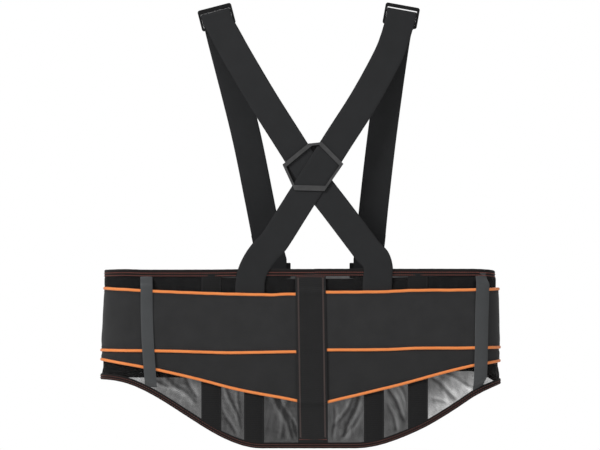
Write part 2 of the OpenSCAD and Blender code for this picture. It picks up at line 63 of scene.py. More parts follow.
TAB_START, TAB_LEN, TAB_NOSE, TAB_MID, TAB_Y, TAB_T = 193.5, 120.0, 30.0, 153.0, 33.7, 2.5
TAB_BODY, TAB_CORD_R = TAB_LEN - TAB_NOSE, 1.15
QUILT_ROWS, QUILT_DEEP = (0.25, 0.5, 0.75), 1.7
SIDES = {"left": -1, "right": 1}
OTHER = {"left": "right", "right": "left"}
OUT_BACK, OUT_FRONT = (0.0, -1, 0), (0.0, 1, 0)


# ---- The camera, the light and the floor (metres) ----

CAMERA_AT, CAMERA_LENS = (0, -12.0375, 0.27875), 576
LIGHT_TARGET = (0, 0, 0.25)
SKY_SEEN, SKY_LIGHT = 1.0, 0.38
FLOOR_HALF, FLOOR_Z = 4000, -600


def camera():
    data = bpy.data.cameras.new("camera")
    data.lens = CAMERA_LENS
    data.sensor_width = 36
    data.clip_end = 40
    ob = link("camera", data)
    ob.location = CAMERA_AT
    ob.rotation_euler = (PI / 2, 0, 0)
    bpy.context.scene.camera = ob
    bpy.context.scene.view_settings.view_transform = "Standard"


def area_light(name, place, size, power):
    data = bpy.data.lights.new(name, "AREA")
    data.size = size
    data.energy = power
    ob = link(name, data)
    ob.location = place
    way = unit(np.array(LIGHT_TARGET) - np.array(place))
    ob.rotation_euler = (math.acos(-way[2]), 0, math.atan2(way[1], way[0]) - PI / 2)


def studio():
    world = bpy.data.worlds.new("studio")
    bpy.context.scene.world = world
    world.use_nodes = True
    t = world.node_tree
    sky = t.nodes["Background"]
    sky.inputs["Color"].default_value = (1, 1, 1, 1)
    seen = add(t, "LightPath").outputs["Is Camera Ray"]
    t.links.new(scaled(t, seen, SKY_SEEN - SKY_LIGHT, SKY_LIGHT), sky.inputs["Strength"])
    area_light("key", (-2.0, -2.2, 2.0), 1.3, 66)
    area_light("fill", (2.2, -2.4, 1.0), 2.0, 10)
    area_light("back", (0.4, 2.6, 2.2), 2.0, 34)
    corners = [(x * FLOOR_HALF, y * FLOOR_HALF, FLOOR_Z) for x, y in ((-1, -1), (1, -1), (1, 1), (-1, 1))]
    floor = make_mesh("floor", corners, [(0, 1, 2, 3)])
    m, t, b = material("floor_paper", 0.9, specular=0.2)
    b.inputs["Base Color"].default_value = (0.82, 0.82, 0.81, 1)
    floor.data.materials.append(m)


# ---- Meshes ----

def link(name, data):
    ob = bpy.data.objects.new(name, data)
    bpy.context.scene.collection.objects.link(ob)
    return ob


def make_mesh(name, points, faces, uv=None, sharp=40):
    me = bpy.data.meshes.new(name)
    me.from_pydata((np.asarray(points, float) * MM).tolist(), [], [tuple(int(i) for i in f) for f in faces])
    bm = bmesh.new()
    bm.from_mesh(me)
    bmesh.ops.recalc_face_normals(bm, faces=bm.faces)
    bm.to_mesh(me)
    bm.free()
    if uv is not None:
        layer = me.uv_layers.new(name="cloth")
        index = np.empty(len(me.loops), int)
        me.loops.foreach_get("vertex_index", index)
        layer.data.foreach_set("uv", (np.asarray(uv, float)[index] * MM).astype(np.float32).ravel())
    me.shade_smooth()
    me.set_sharp_from_angle(angle=math.radians(sharp))
    return link(name, me)


def grid_faces(n, m, offset=0, closed=False):
    """The quads of a grid of n by m points."""
    i = np.arange(n * m).reshape(n, m) + offset
    if closed:
        i = np.concatenate([i, i[:, :1]], 1)
    return np.stack([i[:-1, :-1], i[1:, :-1], i[1:, 1:], i[:-1, 1:]], -1).reshape(-1, 4)


def shell(name, front, back, uv, **more):
    """A closed sheet between two grids of points."""
    n, m = front.shape[:2]
    k = n * m
    i = np.arange(k).reshape(n, m)
    border = np.concatenate([i[0, :-1], i[:-1, -1], i[-1, :0:-1], i[:0:-1, 0]])
    after = np.roll(border, -1)
    faces = np.concatenate([
        grid_faces(n, m), grid_faces(n, m, k)[:, ::-1], np.stack([border, after, after + k, border + k], -1)])
    uv = uv.reshape(-1, 2)
    return make_mesh(name, np.concatenate([front.reshape(-1, 3), back.reshape(-1, 3)]), faces,
                     np.concatenate([uv, uv]), **more)


def tube_faces(n, m):
    return grid_faces(n, m, closed=True).tolist() + [list(range(m)), list(range((n - 1) * m, n * m))[::-1]]


def tube(name, rings, uv):
    """A tube through rings of points, with both ends closed."""
    return make_mesh(name, rings.reshape(-1, 3), tube_faces(*rings.shape[:2]), uv.reshape(-1, 2))


def unit(v):
    return v / np.linalg.norm(v, axis=-1, keepdims=True)


def spread(*parts):
    """Points from their coordinates, each a number or an array."""
    return np.stack(np.broadcast_arrays(*parts), -1)


def distance(path):
    """How far along a path each of its points is."""
    return np.concatenate([[0], np.cumsum(np.linalg.norm(np.diff(path, axis=0), axis=1))])


def ease(t):
    t = np.clip(t, 0, 1)
    return t * t * (3 - 2 * t)


def edged(n, soft):
    """Places from 0 to 1 with a close pair at each end, for a rounded rim."""
    return np.concatenate([[0, soft * 0.3], np.linspace(soft, 1 - soft, n), [1 - soft * 0.3, 1]])


def rim(n, m, low=0.25, near=0.75):
    """How thick a sheet is at each place of a grid made with edged()."""
    a, b = np.ones(n), np.ones(m)
    for v in (a, b):
        v[[0, -1]] = low
        v[[1, -2]] = near
    return np.minimum(a[:, None], b[None, :])


def waves(x, pitch, phase=0.0):
    return np.sin(2 * PI * x / pitch + phase)


def ripple(a, b, seed, size):
    """Soft unevenness of cloth, about -1 to 1."""
    rng = np.random.default_rng(seed)
    out = 0
    for _ in range(6):
        k = rng.normal(size=2) / size
        out = out + np.sin(2 * PI * (a * k[0] + b * k[1]) + rng.uniform(0, 2 * PI))
    return out / 4


# ---- The belt's loop: s runs from the centre strip round the fold to the front, r is the layer ----

def run(side):
    """The length of the back, from the centre strip to the start of the fold."""
    return FOLD_X - side * CENTRE_X


def front_s(side, x):
    """The s of a place on the front."""
    return run(side) + PI * ARC_R + FOLD_X - side * x


def turn_at(side, s):
    """The angle that the loop has turned through, 0 on the back and pi on the front."""
    return np.clip((s - run(side)) / ARC_R, 0, PI)


def loop_x(side, s, r):
    after = np.maximum(s - run(side) - PI * ARC_R, 0)
    return CENTRE_X + side * np.minimum(s, run(side)) + side * (r * np.sin(turn_at(side, s)) - after)


def flat_x(side, s):
    return loop_x(side, s, ARC_R)


def reach(side, z):
    """How much further out the inner belt stands at its folds, by height."""
    if side < 0:
        return np.interp(z, [92, 100, 190, 204, 212, 217], [4.6, 3.0, 3.0, 5.2, 5.2, 3.6])
    return np.interp(z, [92, 102, 150, 190, 202, 212, 217], [4.8, 3.0, 2.0, 0.8, 1.6, 1.6, -1.2])


def loop(side, s, r, z, out=0.0):
    """Points on the loop. out is how far a layer stands out beyond its own radius, at the fold."""
    s, r, z = (v.astype(float) for v in np.broadcast_arrays(s, r, z))
    x = loop_x(side, s, r + out)
    if side < 0:
        taper = 3.7 * np.clip((z - 122) / 74, 0, 1.05) - 0.3
    else:
        taper = 1.2 * np.clip((z - 132) / 60, 0, 1.05) - 1.5
    x = x - side * taper * ease((np.abs(x) - 168) / 76)
    return np.stack([x, -r * np.cos(turn_at(side, s)), z], -1)


def outward(side, s):
    a = turn_at(side, s)
    return spread(side * np.sin(a), -np.cos(a), 0)


def apart(x):
    return np.abs(x - CENTRE_X)


# The heights of the hem and of the three piping lines, by place across the back

def hem_z(x):
    u = apart(x)
    right = 108 * ease((u - 50) / 270) + 2.6 * np.exp(-((u - 205) / 22) ** 2) - np.exp(-((u - 145) / 22) ** 2)
    return np.where(x < CENTRE_X, 86 * ease((u - 65) / 197), right)


def low_line(x):
    u = apart(x)
    left = x < CENTRE_X
    z = 54.8 + np.where(left, 0.221, 0.238) * np.minimum(u, 195) + 0.19 * np.maximum(0, u - 195)
    return z + np.where(left, -0.3 - 2.4 * np.exp(-((u - 93) / 42) ** 2), 2.6 * ease((u - 90) / 95) - 1.3)


def mid_line(x):
    u = apart(x)
    rise = np.where(x < CENTRE_X, 1.6, 2.8) * (u / 250) ** 2
    bow = np.where(x < CENTRE_X, 120.4 - 1.6 * np.exp(-((u - 105) / 50) ** 2),
                   122.6 + 1.4 * ease((u - 85) / 45) - 0.6 * ease((u - 145) / 40))
    return bow + rise


def high_line(x):
    u = apart(x)
    rise = np.where(x < CENTRE_X, 7.6, 4.2) * (u / 250) ** 2
    bow = np.where(x < CENTRE_X, 192.3 - 1.2 * ease((u - 30) / 25),
                   194.7 + 1.2 * ease((u - 85) / 35) - 0.7 * ease((u - 140) / 40))
    return bow + rise


def hem_low(side, s):
    """The height of the hem's lower edge."""
    w = ease((turn_at(side, s) - PI / 2) / (PI / 2))
    return (hem_z(flat_x(side, s)) - 0.7) * (1 - w) + FRONT_LOW[side] * w


def top_high(side, s):
    """The height of the belt's top edge."""
    w = ease(turn_at(side, s) / PI)
    sag = 0.2 + 0.8 * ease((s - 60) / 90) * ease((run(side) + 20 - s) / 40) if side < 0 else -0.1
    return (TOP - sag) * (1 - w) + (FRONT_HIGH + 10 * (apart(flat_x(side, s)) / 260) ** 2) * w


def hem_steep(side, s):
    """How much taller the sloping hem binding is than a level one."""
    d = hem_low(side, s + 0.5) - hem_low(side, s - 0.5)
    return np.sqrt(1 + d * d)


def fold_blend(piece):
    """Cloth that goes round the fold: its placement is baked into its mesh."""
    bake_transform(piece)


def section(w, t):
    """A rounded flat outline, w high and t thick and a little dented, as (outwards, up) pairs."""
    r = t / 2
    z = np.linspace(r - w / 2, w / 2 - r, 7)
    a = np.linspace(0, PI, 5)[1:-1]
    cap = spread(r * np.cos(a), w / 2 - r + r * np.sin(a))
    dent = 0.22 * np.cos(z / (w / 2) * PI / 2) ** 2
    return np.concatenate([spread(r - dent, z), cap, spread(-r, z[::-1]), -cap])


def loop_tube(name, side, s, r_mid, z_mid, sec, out=0.0):
    """A long piece on the loop with the outline sec, at each s."""
    if np.ndim(out):
        out = out[:, None]
    sec = np.broadcast_to(sec, (len(s),) + sec.shape[-2:])
    rings = loop(side, s[:, None], (r_mid + 0 * s)[:, None] + sec[..., 0], z_mid[:, None] + sec[..., 1], out)
    return tube(name, rings, spread(s[:, None], distance(sec[0])))


def threads(name, places, ways, normals, length, thick=0.5, mat="thread", tilt=0.0):
    """Sewn stitches: one short rounded thread at each place."""
    ways, normals = (unit(np.broadcast_to(v, places.shape)) for v in (ways, normals))
    across = unit(np.cross(normals, ways))
    if tilt:
        ways = unit(ways + np.tan(tilt) * across)
        across = unit(np.cross(normals, ways))
    along = np.array([-1, -0.86, -0.4, 0.4, 0.86, 1]) * length / 2
    fat = np.array([0.25, 0.75, 1, 1, 0.75, 0.25]) * thick / 2
    sink = np.array([-0.5, -0.12, 0.1, 0.1, -0.12, -0.5]) * thick
    a = np.arange(6) * PI / 3
    local = spread(along[:, None], fat[:, None] * np.cos(a), fat[:, None] * np.sin(a) + sink[:, None]).reshape(-1, 3)
    points = (places[:, None] + local[None, :, :1] * ways[:, None] + local[None, :, 1:2] * across[:, None]
              + local[None, :, 2:] * normals[:, None]).reshape(-1, 3)
    faces = [[i + 36 * k for i in f] for k in range(len(places)) for f in tube_faces(6, 6)]
    return dress(make_mesh(name, points, faces, np.tile(local[:, :2], (len(places), 1))), mat)


def loop_threads(name, side, s, r, z, length, mat, thick=0.55, out=0.0):
    """Stitches along a line on the loop, at the places s with heights z."""
    here = loop(side, s, r, z, out)
    return threads(name, here, np.gradient(here, axis=0), outward(side, s), length, thick, mat)


def plate(name, outline, y0, y1, soft):
    """A flat piece of cloth with rounded rims, from its outline in X and Z."""
    o = np.asarray(outline, float)
    before, after = (unit(v) for v in (o - np.roll(o, 1, 0), np.roll(o, -1, 0) - o))
    n = unit(before + after)[:, ::-1] * (1, -1)
    layers = [(soft, y0), (soft * 0.3, y0 + soft * 0.25), (0, y0 + soft * 0.8), (0, y1 - soft * 0.8),
              (soft * 0.3, y1 - soft * 0.25), (soft, y1)]
    rings = np.stack([spread(o[:, 0] - n[:, 0] * d, y, o[:, 1] - n[:, 1] * d) for d, y in layers])
    return tube(name, rings, rings[..., [0, 2]])


def dress(ob, mat):
    ob.data.materials.append(MAT[mat])
    return ob


# ---- Materials ----

def material(name, rough, specular=0.35, metallic=0.0, sheen=0.0):
    m = bpy.data.materials.new(name)
    m.use_nodes = True
    t = m.node_tree
    b = t.nodes["Principled BSDF"]
    for socket, value in (("Roughness", rough), ("Specular IOR Level", specular), ("Metallic", metallic),
                          ("Sheen Weight", sheen), ("Sheen Roughness", 0.5)):
        b.inputs[socket].default_value = value
    return m, t, b


def add(t, kind, **set_to):
    n = t.nodes.new("ShaderNode" + kind)
    for k, v in set_to.items():
        setattr(n, k, v)
    return n


def sums(t, op, a, b=None, c=None, clamp=False):
    n = add(t, "Math", operation=op, use_clamp=clamp)
    for i, v in enumerate((a, b, c)):
        if v is None:
            continue
        if isinstance(v, (int, float)):
            n.inputs[i].default_value = v
        else:
            t.links.new(v, n.inputs[i])
    return n.outputs[0]


def scaled(t, value, by, plus):
    return sums(t, "MULTIPLY_ADD", value, by, plus)


def times(t, a, b):
    return sums(t, "MULTIPLY", a, b)


def object_place(t):
    return add(t, "TexCoord").outputs["Object"]


def parts_of(t, vector):
    split = add(t, "SeparateXYZ")
    t.links.new(vector, split.inputs[0])
    return split.outputs


def colour_by(t, b, value, stops):
    t.links.new(ramp(t, value, stops), b.inputs["Base Color"])


def cloth_uv(t, from_place=False):
    """Places on the cloth in metres, from its own UV map or, on a CAD piece, from X and Z."""
    uv = object_place(t) if from_place else add(t, "UVMap", uv_map="cloth").outputs[0]
    parts = parts_of(t, uv)
    return uv, parts[0], parts[2 if from_place else 1]


def wave(t, value, pitch_mm, phase=0.0):
    """0 to 1, once every pitch."""
    s = sums(t, "SINE", scaled(t, value, 2 * PI / (pitch_mm * MM), phase))
    return scaled(t, s, 0.5, 0.5)


def slanted(t, u, v, one, other):
    """Threads that cross at 45 degrees to the cloth, at two pitches."""
    return times(t, wave(t, sums(t, "ADD", u, v), one), wave(t, sums(t, "SUBTRACT", u, v), other))


def noise(t, vector, size_mm, detail=2.0, stretch=None):
    n = add(t, "TexNoise")
    n.inputs["Scale"].default_value = 1 / (size_mm * MM)
    n.inputs["Detail"].default_value = detail
    if stretch:
        mp = add(t, "Mapping")
        mp.inputs["Scale"].default_value = stretch
        t.links.new(vector, mp.inputs[0])
        vector = mp.outputs[0]
    t.links.new(vector, n.inputs["Vector"])
    return n.outputs["Fac"]


def ramp(t, value, stops):
    n = add(t, "ValToRGB")
    while len(n.color_ramp.elements) < len(stops):
        n.color_ramp.elements.new(0.5)
    for e, (at, colour) in zip(n.color_ramp.elements, stops):
        e.position = at
        e.color = (*colour, 1)
    t.links.new(value, n.inputs[0])
    return n.outputs[0]


def bump(t, b, height, depth_mm, strength=0.6):
    n = add(t, "Bump")
    n.inputs["Strength"].default_value = strength
    n.inputs["Distance"].default_value = depth_mm * MM
    t.links.new(height, n.inputs["Height"])
    t.links.new(n.outputs[0], b.inputs["Normal"])


def tint(colour, by):
    return tuple(c * by for c in colour)


def woven(name, colour, along, across, weave, contrast, depth, rough, sheen, mottle, specular=0.25, edge=None,
          from_place=False):
    """Cloth with threads at two pitches (mm). edge is the half width (mm) of a tape with darker rims."""
    m, t, b = material(name, rough, specular, sheen=sheen)
    uv, u, v = cloth_uv(t, from_place)
    if weave == "twill":
        pattern = slanted(t, u, v, along, across)
    elif weave == "herringbone":
        fold = sums(t, "PINGPONG", u, 2.6 * MM)
        pattern = scaled(t, wave(t, u, across), 0.35, times(t, wave(t, sums(t, "ADD", fold, v), along), 0.65))
    elif weave == "rib":
        pattern = scaled(t, wave(t, u, across), 0.3, times(t, wave(t, v, along), 0.7))
    else:
        pattern = sums(t, "ADD", times(t, wave(t, u, across), wave(t, v, along)),
                       times(t, wave(t, u, across, PI), wave(t, v, along, PI)))
    fuzz = noise(t, uv, 0.5, 2.0)
    patches = noise(t, uv, 22, 3.0)
    value = scaled(t, sums(t, "SUBTRACT", pattern, 0.5), contrast, 0.5)
    value = scaled(t, sums(t, "SUBTRACT", fuzz, 0.5), contrast * 0.6, value)
    value = scaled(t, sums(t, "SUBTRACT", patches, 0.5), mottle, value)
    if edge:
        rim_at = sums(t, "DIVIDE", sums(t, "ABSOLUTE", u), edge * MM)
        dark = sums(t, "SMOOTH_MAX", sums(t, "SUBTRACT", rim_at, 0.9), 0.0, 0.02)
        value = scaled(t, dark, -2.0, value)
    colour_by(t, b, value, [(0, tint(colour, 0.35)), (0.5, colour), (1, tint(colour, 1.8))])
    bump(t, b, scaled(t, fuzz, 0.4, pattern), depth)
    return m


def mesh_cloth():
    """Fine net: an open weave, whose cover is given at each point of the panel, with painted fold shade and fold
    light in it.
    """
    m, t, b = material("net", 0.75, 0.12, sheen=0.02)
    uv, u, v = cloth_uv(t)
    cover_with_fold_shade = add(t, "Attribute", attribute_name="cover_with_fold_shade").outputs["Fac"]
    net = slanted(t, u, v, 1.3, 1.3)
    soft = noise(t, uv, 9, 3.0, (1, 0.35, 1))
    value = scaled(t, net, -0.3, scaled(t, soft, 0.5, 0.35))
    colour_by(t, b, value,
              [(0, (0.004, 0.004, 0.0045)), (0.5, (0.011, 0.011, 0.0115)), (1, (0.028, 0.028, 0.028))])
    # the cover attribute holds the weave's own cover plus painted shade and light along the folds
    open_part = sums(t, "SUBTRACT", 1.0, cover_with_fold_shade)
    swing = times(t, open_part, scaled(t, net, -2.2, 0.55))
    streak = times(t, open_part, scaled(t, soft, 1.3, -0.65))
    alpha = sums(t, "ADD", sums(t, "ADD", cover_with_fold_shade, swing), streak, clamp=True)
    one_face = sums(t, "POWER", sums(t, "SUBTRACT", 1.0, alpha, clamp=True), 0.5)
    t.links.new(sums(t, "SUBTRACT", 1.0, one_face), b.inputs["Alpha"])
    bump(t, b, net, 0.15, 0.4)
    return m


def cord_cloth():
    """Satin piping: fine slanted threads round a cord."""
    m, t, b = material("satin_piping", 0.48, 0.4, sheen=0.2)
    uv, u, v = cloth_uv(t)
    pattern = wave(t, scaled(t, v, 0.8, u), 0.7)
    soft = noise(t, uv, 14, 2.0)
    value = scaled(t, pattern, 0.35, scaled(t, soft, 0.5, 0.1))
    colour_by(t, b, value, [(0, (0.72, 0.16, 0.025)), (0.5, (0.98, 0.275, 0.062)), (1, (1.0, 0.40, 0.12))])
    bump(t, b, pattern, 0.08, 0.5)
    return m


def plastic(name, colour, rough, grain=0.35, specular=0.45):
    """Moulded plastic: fine grain, and soft wear in broad random patches of colour and roughness."""
    m, t, b = material(name, rough, specular)
    at = object_place(t)
    fine = noise(t, at, 0.45, 3.0)
    broad = noise(t, at, 9, 3.0)
    value = scaled(t, fine, 0.3, scaled(t, broad, 0.6, 0.05))
    colour_by(t, b, value, [(0.2, tint(colour, 0.72)), (0.5, colour), (0.85, tint(colour, 1.45))])
    t.links.new(scaled(t, broad, 0.22, rough - 0.1), b.inputs["Roughness"])
    bump(t, b, fine, 0.05, grain)
    return m


def steel():
    m, t, b = material("brushed_steel", 0.35, 0.5, metallic=0.9)
    at = object_place(t)
    lines = noise(t, at, 1.2, 2.0, (6, 6, 0.3))
    colour_by(t, b, lines, [(0.3, (0.30, 0.30, 0.31)), (0.7, (0.56, 0.56, 0.57))])
    t.links.new(scaled(t, lines, 0.3, 0.22), b.inputs["Roughness"])
    return m


def tape(name, colour, hooks):
    """Hook tape has rows of stiff points; loop tape is brushed pile."""
    m, t, b = material(name, 0.85, 0.25, sheen=0.0 if hooks else 0.5)
    at = object_place(t)
    if hooks:
        x, _, z = parts_of(t, at)
        pattern = times(t, wave(t, x, 1.5), wave(t, z, 1.5))
        depth = 0.3
    else:
        pattern = noise(t, at, 0.8, 4.0)
        depth = 0.4
    broad = noise(t, at, 8, 2.0)
    value = scaled(t, pattern, 0.6, times(t, broad, 0.4))
    colour_by(t, b, value, [(0.1, tint(colour, 0.4)), (0.45, colour), (0.9, tint(colour, 2.2))])
    bump(t, b, pattern, depth, 0.8)
    return m


def rubber():
    m, t, b = material("grip_rubber", 0.6, 0.35)
    at = object_place(t)
    ribs = wave(t, parts_of(t, at)[2], 2.4)
    fine = noise(t, at, 0.6, 2.0)
    value = scaled(t, ribs, 0.5, times(t, fine, 0.5))
    colour_by(t, b, value, [(0.1, (0.012, 0.012, 0.013)), (0.8, (0.045, 0.045, 0.047))])
    bump(t, b, ribs, 0.5, 0.8)
    return m


def thread(name, colour):
    m, t, b = material(name, 0.55, 0.35, sheen=0.1)
    _, u, v = cloth_uv(t)
    twist = wave(t, scaled(t, v, 1.2, u), 0.45)
    colour_by(t, b, twist, [(0, tint(colour, 0.6)), (1, tint(colour, 1.25))])
    bump(t, b, twist, 0.05, 0.4)
    return m


MAT = {
    "band": woven("elastic_knit", (0.0255, 0.0255, 0.0265), 1.15, 1.7, "plain", 0.34, 0.14, 0.82, 0.12, 0.34),
    "band_low": woven("elastic_knit_low", (0.0232, 0.0232, 0.024), 1.15, 1.7, "plain", 0.34, 0.14, 0.84, 0.1, 0.3),
    "strap": woven("strap_webbing", (0.0122, 0.0128, 0.0141), 1.4, 0.9, "herringbone", 0.32, 0.16, 0.7, 0.12, 0.3,
                   0.3, edge=STRAP_W / 2),
    "ribbon": woven("keeper_satin", (0.050, 0.0535, 0.0565), 0.8, 0.5, "rib", 0.22, 0.06, 0.5, 0.2, 0.2, 0.4),
    "edge": woven("edge_tape", (0.0085, 0.0068, 0.0068), 0.9, 1.1, "plain", 0.4, 0.16, 0.85, 0.08, 0.3),
    "webbing": woven("channel_webbing", (0.0088, 0.0088, 0.0092), 2.4, 1.2, "rib", 0.5, 0.3, 0.85, 0.1, 0.3),
    "strip": woven("strip_webbing", (0.0145, 0.0145, 0.015), 0.9, 1.1, "plain", 0.4, 0.16, 0.82, 0.1, 0.25),
    "pad": woven("pad_cloth", (0.020, 0.020, 0.0215), 1.6, 1.6, "twill", 0.4, 0.22, 0.85, 0.2, 0.25),
    "tab": woven("tab_cloth", (0.026, 0.026, 0.028), 1.2, 1.2, "twill", 0.4, 0.18, 0.8, 0.2, 0.2),
    "net": mesh_cloth(),
    "piping": cord_cloth(),
    "thread": thread("rust_thread", (0.27, 0.075, 0.055)),
    "patch": woven("patch_webbing", (0.012, 0.012, 0.0125), 1.2, 1.0, "plain", 0.4, 0.2, 0.8, 0.1, 0.2,
                   from_place=True),
    "thread_hem": thread("hem_thread", (0.15, 0.045, 0.034)),
    "thread_dull": thread("brown_thread", (0.115, 0.080, 0.074)),
    "thread_dark": thread("black_thread", (0.018, 0.018, 0.019)),
    "grey_plastic": plastic("grey_plastic", (0.052, 0.052, 0.053), 0.42),
    "black_plastic": plastic("black_plastic", (0.0055, 0.0055, 0.006), 0.42, 0.35, 0.25),
    "steel": steel(),
    "hooks": tape("hook_tape", (0.012, 0.012, 0.013), True),
    "loops": tape("loop_tape", (0.018, 0.018, 0.019), False),
    "rubber": rubber(),
}


# ---- The net panels ----

# Each long fold in the net: s and z of its two ends, its width, and its height
CREASES = {
    -1: [(53, 70, 26, 8, 3.4, 1.7), (44, 68, 20, 18, 2.2, -1.5), (34, 60, 44, 10, 3.0, 1.2),
         (28, 40, 22, 10, 2.2, 1.2), (112, 80, 92, 24, 2.6, 1.5), (118, 60, 98, 16, 2.6, -1.3),
         (96, 72, 92, 40, 2.2, 1.2), (190, 92, 150, 56, 3.4, 1.2), (160, 92, 144, 60, 3.0, -1.1),
         (204, 86, 172, 72, 2.4, 1.0)],
    1: [(58, 66, 40, 14, 3.4, 1.6), (47, 62, 28, 30, 2.6, -1.3), (26, 52, 25, 12, 2.4, 1.2),
        (58, 40, 34, 8, 2.6, 1.2), (94, 74, 116, 34, 3.0, 1.5), (106, 78, 118, 48, 2.2, -1.2),
        (94, 52, 106, 18, 2.4, 1.2), (146, 90, 180, 62, 3.2, 1.3), (158, 94, 200, 74, 2.6, -1.1),
        (150, 62, 170, 54, 2.6, 1.0)],
}


def creases(side, s, z):
    """Soft folds in the net between the channels: their height, and how much they close or open the weave. This is
    partly random and partly a painted lit side and a painted shaded side along each fold.
    """
    out = 0.5 * ripple(s, z, 5 + side, 34)
    closeness_and_fold_shade = 0.5 * ripple(s, z * 1.3, 15 + side, 22) + 0.35 * ripple(s, z, 25 + side, 9)
    for s0, z0, s1, z1, wide, deep in CREASES[side]:
        way = np.array([s1 - s0, z1 - z0], float)
        long = np.linalg.norm(way)
        way /= long
        along = (s - s0) * way[0] + (z - z0) * way[1]
        off = ((s - s0) * way[1] - (z - z0) * way[0] + 1.6 * np.sin(along / 9)) / wide
        there = ease((along + 8) / 16) * ease((long + 8 - along) / 16)
        out = out + deep * np.exp(-off ** 2) * there
        # painted shade and painted light: each fold closes the weave on one side and opens it on the other, a painted
        # shaded side and a painted lit side
        closeness_and_fold_shade = closeness_and_fold_shade + 1.7 * deep * off * np.exp(0.4 - off ** 2) * there
    hem = hem_low(side, s) + BINDING_W
    calm = ease((z - hem) / 6) * ease((TOP - 8 - z) / 10)
    for at, wide in ((0, STRIP_W), (75, CHANNEL_W), (130, CHANNEL_W)):
        calm = calm * ease((np.abs(s - at) - wide / 2) / 5)
    low = np.clip((100 - z) / 10 + 0.25, 0.25, 1)
    return out * calm * ease((run(side) + 20 - s) / 60) * low, closeness_and_fold_shade * calm


def openness(side, u, z):
    """The share of light that the net lets through, by place."""
    if side < 0:
        lets = 0.056 + 0.022 * ease((u - 70) / 12) + 0.06 * ease((u - 134) / 12)
        lets = lets * (1 - 0.42 * ease((z - 74) / 10))
        return lets + (0.34 - lets) * ease((u - 194) / 12)
    lets = 0.078 + 0.008 * ease((u - 70) / 12)
    far = 0.10 + 0.0055 * (u - 145) + 0.009 * (76 - z)
    lets = lets + (np.clip(far, 0.09, 0.46) - lets) * ease((u - 136) / 10)
    return lets + (0.42 - lets) * ease((u - 196) / 12)


def net_panel(name):
    side = SIDES[name]
    wide = run(side) + PI * ARC_R / 2
    s = np.concatenate([np.linspace(0, run(side), 150), np.linspace(run(side) + 2, wide, 18)])
    v = np.linspace(0, 1, 90)
    S, V = np.meshgrid(s, v, indexing="ij")
    Z = (hem_low(side, S) + 3) * (1 - V) + (TOP - 3) * V
    height, closeness_and_fold_shade = creases(side, S, Z)
    mid = LOOP_R + 0.55 - np.clip(height, -0.4, 3.2) * 0.9
    out = reach(side, Z)
    front, back = loop(side, S, mid + 0.12, Z, out), loop(side, S, mid - 0.12, Z, out)
    ob = shell("net_" + name, front, back, spread(S, Z), sharp=80)
    # how much the net lets through takes in the painted shade and light of the folds
    lets = openness(side, apart(flat_x(side, S)), Z) * np.clip(1 - 0.5 * closeness_and_fold_shade, 0.3, 2.0)
    gap = 0.02 if side < 0 else 0.05
    lets = np.where(Z > 120, 0.03 + gap * ease((Z - 209) / 4) * ease((110 - S) / 20), lets)
    # cover per point, with the painted shade and light of the folds in it
    cover_with_fold_shade = np.tile((1 - lets).ravel(), 2).astype(np.float32)
    ob.data.attributes.new("cover_with_fold_shade", "FLOAT", "POINT").data.foreach_set("value", cover_with_fold_shade)
    dress(ob, "net")
    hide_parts("back_panel_" + name)
    fold_blend(ob)


# ---- Bound edges ----

def binding_line(edge, side, s):
    """The middle height of a bound edge and how tall it is, at each s."""
    if edge == "top":
        return top_high(side, s) - TOP_BINDING_W / 2, TOP_BINDING_W + 0 * s
    steep = hem_steep(side, s)
    return hem_low(side, s) + BINDING_W / 2 * steep, BINDING_W * steep


def binding(name):
    side = SIDES[name]
    end = front_s(side, CENTRE_X + side * FRONT_GAP / 2)
    turned = run(side) + PI * ARC_R
    s = np.concatenate([np.arange(0, run(side), 4.0), np.linspace(run(side), turned, 34),
                        np.arange(turned + 4, end, 4.0), [end]])
    thick_at = lambda q: BINDING_T + (PAD_T - BINDING_T) * ease(turn_at(side, q) / PI)
    thick = thick_at(s)
    wobble = 0.12 * ripple(s, 0 * s, 3, 26)
    at = np.arange(1.5, end - 1.5, 2.7)
    for edge, mat, rows in (("top", "thread", (0.25, -3.2)), ("hem", "thread_hem", (1.1, -1.7))):
        z, high = binding_line(edge, side, s)
        secs = np.stack([section(h, t) for h, t in zip(high, thick)])
        ob = loop_tube(f"{edge}_edge_{name}", side, s, LOOP_R + thick / 2 + wobble * 0.5, z + wobble, secs,
                       reach(side, z))
        dress(ob, "edge")
        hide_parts("front_binding_" + name, *([edge + "_binding"] if name == "left" else []))
        fold_blend(ob)
        base, high = binding_line(edge, side, at)
        steep = high / BINDING_W if edge == "hem" else 1.0
        for k, off in enumerate(rows):
            st = loop_threads(f"{edge}_stitch_{name}_{k}", side, at, LOOP_R + thick_at(at), base + off * steep, 2.1,
                              mat, 0.85, reach(side, base))
            fold_blend(st)


# ---- Stay channels and the centre strip ----

